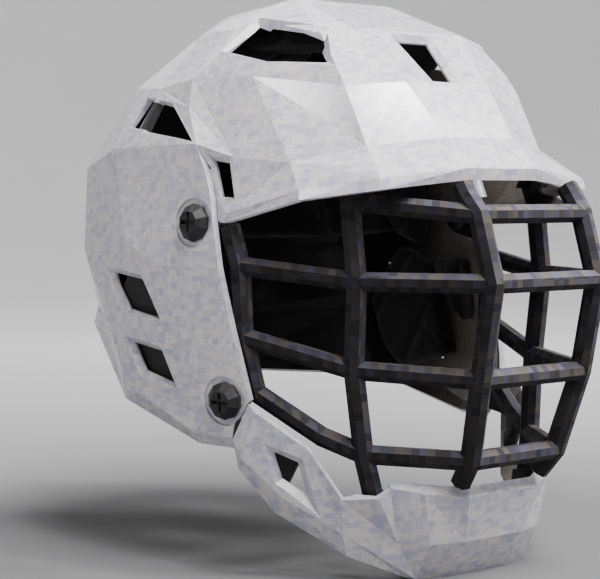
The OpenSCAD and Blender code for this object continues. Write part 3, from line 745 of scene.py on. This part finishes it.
@dataclass
class Finishes:
    """Every finish of the helmet, made once.

    Attributes:
        shell: The two shells' finish.
        chin: The chin guard's.
        cross_bar: That of the cage's bars that lie across.
        upright: That of its upright bars, side bars and tabs.
        screw: The black screws' finish.
        plastic: The black mouldings'.
        steel: The bare steel's.
        foam: The foam blocks' cover.
    """

    shell: bpy.types.Material = field(
        default_factory=lambda: MottledShell("mottled_shell", HEAD_MIDDLE).make())
    chin: bpy.types.Material = field(
        default_factory=lambda: MottledShell("mottled_chin", CHIN_MIDDLE).make())
    cross_bar: bpy.types.Material = field(
        default_factory=lambda: BandedCoat("banded_cross_bar", WIRE_COOL, WIRE_WARM, WIRE_DEEP,
                                           tall=14.0 * MM).make())
    upright: bpy.types.Material = field(
        default_factory=lambda: BandedCoat("banded_upright", WIRE_COOL, WIRE_WARM, WIRE_DEEP,
                                           wide=14.0 * MM).make())
    screw: bpy.types.Material = field(
        default_factory=lambda: BandedCoat("black_screw", (0.17, 0.17, 0.19), (0.19, 0.175, 0.165),
                                           (0.09, 0.09, 0.095), wide=3.0 * MM, tall=3.0 * MM,
                                           roughness=0.45, gloss=0.4).make())
    plastic: bpy.types.Material = field(
        default_factory=lambda: BandedCoat("black_moulding", (0.13, 0.13, 0.14), (0.14, 0.135, 0.13),
                                           (0.1, 0.1, 0.105), wide=2.8 * MM, tall=2.8 * MM,
                                           roughness=0.55, gloss=0.4).make())
    steel: bpy.types.Material = field(default_factory=lambda: TurnedSteel("turned_steel").make())
    foam: bpy.types.Material = field(default_factory=lambda: FoamSkin("knitted_foam_skin").make())


def coat(nodes: Nodes, names: Sequence[str], finish: bpy.types.Material) -> None:
    """Gives carried-over parts a finish.

    Args:
        nodes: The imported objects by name.
        names: The parts that get it.
        finish: The finish.
    """
    for name in names:
        mesh = nodes[name].data
        if not mesh.materials:
            mesh.materials.append(finish)
        for slot in range(len(mesh.materials)):
            mesh.materials[slot] = finish
        LOG.info("coated %s with %s", name, finish.name)


@dataclass
class Shells:
    """The two shells and the chin guard.

    Attributes:
        upper: The shells round the head.
        lower: The shell under the chin.
    """

    upper: tuple[str, ...] = ("front_shell", "rear_shell")
    lower: tuple[str, ...] = ("chin_guard",)

    def dress(self, nodes: Nodes, finishes: Finishes) -> None:
        """Coats the shells.

        Args:
            nodes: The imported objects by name.
            finishes: The helmet's finishes.
        """
        coat(nodes, self.upper, finishes.shell)
        coat(nodes, self.lower, finishes.chin)


@dataclass
class FaceCage:
    """The wire cage with its tabs, screws, nuts and clips.

    Attributes:
        cross: The bars that lie across.
        upright: The upright bars, the side bars and the tabs.
        screws: The black screws in the tabs.
        clips: The black mouldings that hold the cage and the chin guard.
        bright: The steel nuts and screws.
    """

    cross: tuple[str, ...] = ("cage_top_bar", "cage_upper_bar", "cage_middle_bar", "cage_lower_bar")
    upright: tuple[str, ...] = ("cage_side_bars", "cage_outer_uprights", "cage_inner_uprights",
                                "upper_cage_tabs", "lower_cage_tabs")
    screws: tuple[str, ...] = ("upper_cage_screws", "lower_cage_screws")
    clips: tuple[str, ...] = ("visor_clips", "chin_clips", "chin_guard_brackets")
    bright: tuple[str, ...] = ("cage_nuts", "chin_guard_screws")

    def dress(self, nodes: Nodes, finishes: Finishes) -> None:
        """Coats the cage and what holds it.

        Args:
            nodes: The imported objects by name.
            finishes: The helmet's finishes.
        """
        coat(nodes, self.cross, finishes.cross_bar)
        coat(nodes, self.upright, finishes.upright)
        coat(nodes, self.screws, finishes.screw)
        coat(nodes, self.clips, finishes.plastic)
        coat(nodes, self.bright, finishes.steel)


@dataclass
class RearFit:
    """The dial, its housing, the rods and the cradle at the nape, and the steel at the crown.

    Attributes:
        mouldings: The black mouldings.
        bright: The steel parts.
    """

    mouldings: tuple[str, ...] = ("dial_housing", "fit_dial", "nape_cradle")
    bright: tuple[str, ...] = ("guide_rods", "crown_joiner", "crown_rivets")

    def dress(self, nodes: Nodes, finishes: Finishes) -> None:
        """Coats the rear fitting.

        Args:
            nodes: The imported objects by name.
            finishes: The helmet's finishes.
        """
        coat(nodes, self.mouldings, finishes.plastic)
        coat(nodes, self.bright, finishes.steel)


@dataclass
class FoamBlock:
    """One foam block with rounded edges, a crowned front and pressed grooves.

    Attributes:
        name: The new piece's name.
        voxel: Size of the block's mesh squares before smoothing.
        rounding: How many times its edges are eased.
        ease: How strongly each time.
        facing: How closely a face looks away from the head to count as the block's back.
        crown: How far the middle of the front stands up.
        front_from: Where the front starts, as a share of the way up to its top.
        front_over: Share of that way over which it takes full effect.
        groove: Depth of the pressed grooves.
        groove_width: Half their width.
        groove_at: Where a long block's two cross grooves lie, as a share of half its length.
        long_from: Half length from which a block has two cross grooves and not one.
        broad_from: Half width above which it has a lengthwise groove too.
        seam: Depth of the seam round its sides.
        seam_width: Half the seam's width.
        seam_at: Where the seam lies, as a share of the way to the back.
        swell: How much wider the block stands than its plain solid.
        reach: How much further its edge stands out in each direction, with the direction's sign.
    """

    name: str
    voxel: float = 2.4 * MM
    rounding: int = 2
    ease: float = 0.5
    facing: float = 0.6
    crown: float = 1.6 * MM
    front_from: float = 0.35
    front_over: float = 0.5
    groove: float = 1.5 * MM
    groove_width: float = 1.7 * MM
    groove_at: float = 0.36
    long_from: float = 26.0 * MM
    broad_from: float = 20.0 * MM
    seam: float = 0.8 * MM
    seam_width: float = 1.2 * MM
    seam_at: float = 0.45
    swell: float = 1.0
    reach: Triple = (0.0, 0.0, 0.0)

    def build(self, source: bmesh.types.BMesh, finish: bpy.types.Material) -> bpy.types.Object:
        """Makes the soft block in the space of its plain solid.

        Args:
            source: The plain solid's mesh.
            finish: The cover's finish.

        Returns:
            The new piece.
        """
        mesh = bpy.data.meshes.new(self.name)
        source.to_mesh(mesh)
        piece = bpy.data.objects.new(self.name, mesh)
        bpy.context.scene.collection.objects.link(piece)
        remesh = piece.modifiers.new("fill", "REMESH")
        remesh.mode = "VOXEL"
        remesh.voxel_size = self.voxel
        ease = piece.modifiers.new("ease", "SMOOTH")
        ease.factor = self.ease
        ease.iterations = self.rounding
        evaluated = piece.evaluated_get(bpy.context.evaluated_depsgraph_get())
        soft = bpy.data.meshes.new_from_object(evaluated)
        piece.modifiers.clear()
        piece.data = soft
        soft.name = self.name
        self._press(soft, *self._frame(source))
        smooth = piece.modifiers.new("skin", "SUBSURF")
        smooth.levels = smooth.render_levels = 1
        for polygon in soft.polygons:
            polygon.use_smooth = True
        soft.materials.clear()
        soft.materials.append(finish)
        return piece

    def _frame(self, source: bmesh.types.BMesh) -> tuple[Vector, Vector, Vector, float]:
        """Finds the block's front direction.

        Args:
            source: The plain solid's mesh.

        Returns:
            The centre, the direction that the front faces, the block's long direction and half its
            length.
        """
        centre = sum((v.co for v in source.verts), Vector()) / len(source.verts)
        outward = (centre - Vector(HEAD_MIDDLE)).normalized()
        source.normal_update()
        total = Vector()
        for face in source.faces:
            if face.normal.dot(outward) > self.facing:
                total += face.normal * face.calc_area()
        front = -total.normalized() if total.length > 0 else -outward
        flat = [v.co - centre - front * (v.co - centre).dot(front) for v in source.verts]
        long_way = max(flat, key=lambda p: p.length).normalized()
        across = front.cross(long_way)
        spread_long = max(abs(p.dot(long_way)) for p in flat)
        spread_across = max(abs(p.dot(across)) for p in flat)
        if spread_across > spread_long:
            long_way, spread_long = across, spread_across
        return centre, front, long_way, spread_long

    def _press(self, mesh: bpy.types.Mesh, centre: Vector, front: Vector, long_way: Vector,
               half: float) -> None:
        """Crowns the front, presses the grooves and the seam into it and widens the block.

        Args:
            mesh: The eased block, which is changed.
            centre: The block's centre.
            front: The direction that its front faces.
            long_way: Its long direction.
            half: Half its length.
        """
        co = np.empty(len(mesh.vertices) * 3)
        mesh.vertices.foreach_get("co", co)
        co = co.reshape(-1, 3)
        offset = co - np.array(centre)
        height = offset @ np.array(front)
        along = offset @ np.array(long_way)
        across = offset @ np.array(front.cross(long_way))
        sideways = offset - np.outer(height, np.array(front))
        top, bottom = height.max(), height.min()
        on_front = np.clip((height - top * self.front_from) / max(top * self.front_over, TINY), 0.0, 1.0)
        raised = self._raised(along, across, half)
        co = co + np.outer(on_front * raised, np.array(front))
        seam = np.exp(-((height - bottom * self.seam_at) / self.seam_width) ** 2)
        inward = sideways / np.maximum(np.linalg.norm(sideways, axis=1, keepdims=True), TINY * MM)
        co = co - inward * (seam * (1.0 - on_front) * self.seam)[:, None]
        co = co + sideways * (self.swell - 1.0)
        reach = np.array(self.reach)
        co = co + np.clip(offset * np.sign(reach) / np.abs(offset).max(axis=0), 0.0, 1.0) * reach
        mesh.vertices.foreach_set("co", co.reshape(-1))
        mesh.update()

    def _raised(self, along: np.ndarray, across: np.ndarray, half: float) -> np.ndarray:
        """Finds how far the front stands up at each place.

        Args:
            along: Distance from the middle in the block's long direction.
            across: Distance in the other direction.
            half: Half the block's length.

        Returns:
            The height, below 0 in the grooves.
        """
        wide = max(float(np.abs(across).max()), TINY)
        dome = np.clip(1.0 - (along / half) ** 2, 0.0, 1.0) * np.clip(1.0 - (across / wide) ** 2, 0.0, 1.0)
        cross_grooves = [0.0] if half < self.long_from else [-half * self.groove_at, half * self.groove_at]
        dip = sum(np.exp(-((along - at) / self.groove_width) ** 2) for at in cross_grooves)
        if wide > self.broad_from:
            dip = dip + np.exp(-(across / self.groove_width) ** 2)
        return self.crown * dome - self.groove * np.clip(dip, 0.0, 1.0)


@dataclass
class Liner:
    """The foam blocks inside the helmet, each soft in the place of its plain solid.

    Attributes:
        fixed: Plain nodes that stay with the shells.
        moving: Plain nodes that move with the nape cradle.
        swells: How much wider a node's blocks stand than its plain solids.
        reaches: How much further a block's edge stands out.
    """

    fixed: tuple[str, ...] = ("crown_pads", "brow_pad", "right_side_pads", "left_side_pads",
                              "right_jaw_pad", "left_jaw_pad", "rear_pads", "chin_pads")
    moving: tuple[str, ...] = ("nape_pad",)
    swells: dict[str, float] = field(default_factory=lambda: {
        "right_side_pads": 1.02, "left_side_pads": 1.02, "crown_pads": 1.02, "chin_pads": 1.1})
    reaches: dict[str, Triple] = field(default_factory=lambda: {
        "right_side_pads_soft_1": (0.0, 6.0 * MM, -6.0 * MM),
        "left_side_pads_soft_4": (0.0, 6.0 * MM, -6.0 * MM),
        "crown_pads_soft_3": (0.0, 0.0, -7.0 * MM)})

    def build(self, nodes: Nodes, finishes: Finishes) -> None:
        """Makes every block.

        Args:
            nodes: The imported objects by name.
            finishes: The helmet's finishes.
        """
        for name in self.fixed:
            self._replace(nodes[name], Body.HELMET, finishes.foam)
        for name in self.moving:
            self._replace(nodes[name], Body.CRADLE, finishes.foam)

    def _replace(self, node: bpy.types.Object, body: Body, finish: bpy.types.Material) -> None:
        """Replaces one node by a soft block for each of its solids.

        Args:
            node: The plain node.
            body: The body that it moves with.
            finish: The cover's finish.
        """
        for number, island in enumerate(islands(node.data)):
            name = f"{node.name}_soft_{number + 1}"
            block = FoamBlock(name, swell=self.swells.get(node.name, 1.0),
                              reach=self.reaches.get(name, (0.0, 0.0, 0.0)))
            piece = block.build(island, finish)
            island.free()
            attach(piece, body.value)
            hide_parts(node.name)
            LOG.info("built %s", piece.name)


def islands(mesh: bpy.types.Mesh, weld: float = 0.01 * MM) -> list[bmesh.types.BMesh]:
    """Splits a mesh into its separate solids.

    Args:
        mesh: The mesh, which stays as it is.
        weld: Distance within which corners are one.

    Returns:
        One new mesh for each solid, in a steady order.
    """
    whole = bmesh.new()
    whole.from_mesh(mesh)
    bmesh.ops.remove_doubles(whole, verts=whole.verts, dist=weld)
    left = set(whole.verts)
    groups = []
    for seed in list(whole.verts):
        if seed not in left:
            continue
        stack, group = [seed], []
        left.discard(seed)
        while stack:
            corner = stack.pop()
            group.append(corner)
            for edge in corner.link_edges:
                other = edge.other_vert(corner)
                if other in left:
                    left.discard(other)
                    stack.append(other)
        groups.append(group)
    result = []
    for group in groups:
        part = bmesh.new()
        copies = {corner: part.verts.new(corner.co) for corner in group}
        for face in dict.fromkeys(face for corner in group for face in corner.link_faces):
            part.faces.new([copies[corner] for corner in face.verts])
        bmesh.ops.recalc_face_normals(part, faces=part.faces)
        part.verts.ensure_lookup_table()
        result.append(part)
    whole.free()
    return sorted(result, key=lambda part: tuple(round(c, 5) for c in part.verts[0].co))


def direction(azimuth: float, elevation: float) -> Vector:
    """Gives the direction from the helmet towards a place in the studio.

    Args:
        azimuth: Angle round the helmet in degrees; 0 is in front of the face.
        elevation: Angle above the horizon in degrees.

    Returns:
        The direction as a unit vector.
    """
    a, e = math.radians(azimuth), math.radians(elevation)
    return Vector((math.sin(a) * math.cos(e), -math.cos(a) * math.cos(e), math.sin(e)))


def area_light(name: str, size: float, power: float, place: Vector, aim: Vector) -> bpy.types.AreaLight:
    """Adds one soft square light.

    Args:
        name: The light's name.
        size: Side of its square.
        power: Its power in watts.
        place: Where it stands.
        aim: The place that it faces.

    Returns:
        The light's data.
    """
    lamp = bpy.data.lights.new(name, "AREA")
    lamp.size = size
    lamp.energy = power
    holder = bpy.data.objects.new(name, lamp)
    holder.location = place
    holder.rotation_euler = (aim - place).to_track_quat("-Z", "Y").to_euler()
    bpy.context.scene.collection.objects.link(holder)
    return lamp


@dataclass(frozen=True)
class Lamp:
    """One soft light that faces the helmet.

    Attributes:
        name: The light's name.
        azimuth: Its direction round the helmet.
        elevation: Its height above the horizon.
        size: Side of its square.
        power: Its power in watts.
        distance: Its distance from the helmet's middle.
        spread: How widely it shines.
    """

    name: str
    azimuth: float
    elevation: float
    size: float
    power: float
    distance: float = 2.0
    spread: float = 110.0

    def build(self, target: Vector) -> None:
        """Adds the light.

        Args:
            target: The helmet's middle.
        """
        place = target + direction(self.azimuth, self.elevation) * self.distance
        area_light(self.name, self.size, self.power, place, target).spread = math.radians(self.spread)


@dataclass(frozen=True)
class WallLights:
    """Lights that face away from the helmet and brighten the backdrop.

    Attributes:
        powers: Their powers in watts, in order round the helmet.
        start: Direction of the first one.
        size: Side of their squares.
        radius: Their distance from the middle.
        height: Their height above the floor.
        aim_radius: Distance from the middle of the place that each one faces.
        aim_height: Its height above the floor.
    """

    powers: tuple[float, ...] = (5.0, 10.0, 10.0, 2.5, 1.0, 1.2)
    start: float = 30.0
    size: float = 1.0
    radius: float = 1.4
    height: float = 1.5
    aim_radius: float = 3.0
    aim_height: float = 0.25

    def build(self) -> None:
        """Adds the lights."""
        for number, power in enumerate(self.powers):
            way = direction(self.start + 360.0 / len(self.powers) * number, 0.0)
            place = way * self.radius + Vector((0.0, 0.0, self.height))
            aim = way * self.aim_radius + Vector((0.0, 0.0, self.aim_height))
            area_light(f"wall_{number + 1}", self.size, power, place, aim)


@dataclass(frozen=True)
class Sweep:
    """The floor, which curves up into a backdrop all round.

    Attributes:
        profile: Its radius and height, from the middle outwards.
        steps: Number of flat strips round it.
    """

    profile: tuple[tuple[float, float], ...] = (
        (0.001, 0.0), (1.6, 0.0), (2.1, 0.02), (2.5, 0.12), (2.8, 0.35), (2.95, 0.75), (3.0, 1.3),
        (3.0, 3.2))
    steps: int = 64

    def build(self) -> None:
        """Makes the floor."""
        mesh = bpy.data.meshes.new("studio_sweep")
        vertices, faces = [], []
        for radius, height in self.profile:
            for step in range(self.steps):
                turn = math.tau * step / self.steps
                vertices.append((radius * math.cos(turn), radius * math.sin(turn), height))
        for ring in range(len(self.profile) - 1):
            inner, outer = ring * self.steps, (ring + 1) * self.steps
            for step in range(self.steps):
                after = (step + 1) % self.steps
                faces.append((inner + step, inner + after, outer + after, outer + step))
        mesh.from_pydata(vertices, [], faces)
        for polygon in mesh.polygons:
            polygon.use_smooth = True
        floor = bpy.data.objects.new("studio_sweep", mesh)
        bpy.context.scene.collection.objects.link(floor)
        mesh.materials.append(PaleSweep().make())


@dataclass
class Studio:
    """Floor, light and camera.

    Attributes:
        azimuth: The camera's direction round the helmet.
        elevation: Its height above the horizon.
        distance: Its distance from the target.
        target: What it looks at.
        lens: Its focal length in millimetres.
        sensor: Width of its sensor in millimetres.
        lamps: The lights that face the helmet.
        surround: Strength of the even light from all round.
    """

    azimuth: float = -43.0
    elevation: float = 3.0
    distance: float = 1.08
    target: Triple = (0.0, 0.024, 0.142)
    lens: float = 112.8
    sensor: float = 36.0
    lamps: tuple[Lamp, ...] = (
        Lamp("high_front", -18.0, 52.0, 0.7, 11.0),
        Lamp("top", 5.0, 72.0, 0.7, 21.0),
        Lamp("far_front", 62.0, 42.0, 0.7, 11.0),
        Lamp("back", 150.0, 35.0, 1.2, 2.5),
        Lamp("gloss_low", 26.5, 47.1, 0.14, 3.6),
        Lamp("gloss_high", 18.7, 59.3, 0.14, 3.6),
        Lamp("gloss_side", -95.7, 24.0, 0.16, 1.7))
    surround: float = 0.03

    def build(self) -> None:
        """Makes the whole studio."""
        Sweep().build()
        for lamp in self.lamps:
            lamp.build(Vector(self.target))
        WallLights().build()
        self._world()
        self._camera()

    def _world(self) -> None:
        """Gives an even, faint white surrounding."""
        world = bpy.data.worlds.new("studio_world")
        world.use_nodes = True
        background = world.node_tree.nodes["Background"]
        background.inputs["Color"].default_value = (1.0, 1.0, 1.0, 1.0)
        background.inputs["Strength"].default_value = self.surround
        bpy.context.scene.world = world

    def _camera(self) -> None:
        """Adds the camera at the photograph's angle."""
        back = direction(self.azimuth, self.elevation)
        data = bpy.data.cameras.new("photo_camera")
        data.lens = self.lens
        data.sensor_width = self.sensor
        camera = bpy.data.objects.new("photo_camera", data)
        camera.location = Vector(self.target) + back * self.distance
        camera.rotation_euler = (-back).to_track_quat("-Z", "Y").to_euler()
        bpy.context.scene.collection.objects.link(camera)
        bpy.context.scene.camera = camera


def main() -> None:
    """Loads the frame and dresses the helmet in order."""
    logging.basicConfig(level=logging.INFO, format="%(name)s: %(message)s")
    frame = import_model()
    nodes = frame["nodes"]
    finishes = Finishes()
    Studio().build()
    Shells().dress(nodes, finishes)
    FaceCage().dress(nodes, finishes)
    RearFit().dress(nodes, finishes)
    Liner().build(nodes, finishes)
    LOG.info("the helmet is dressed")


if __name__ == "__main__":
    main()
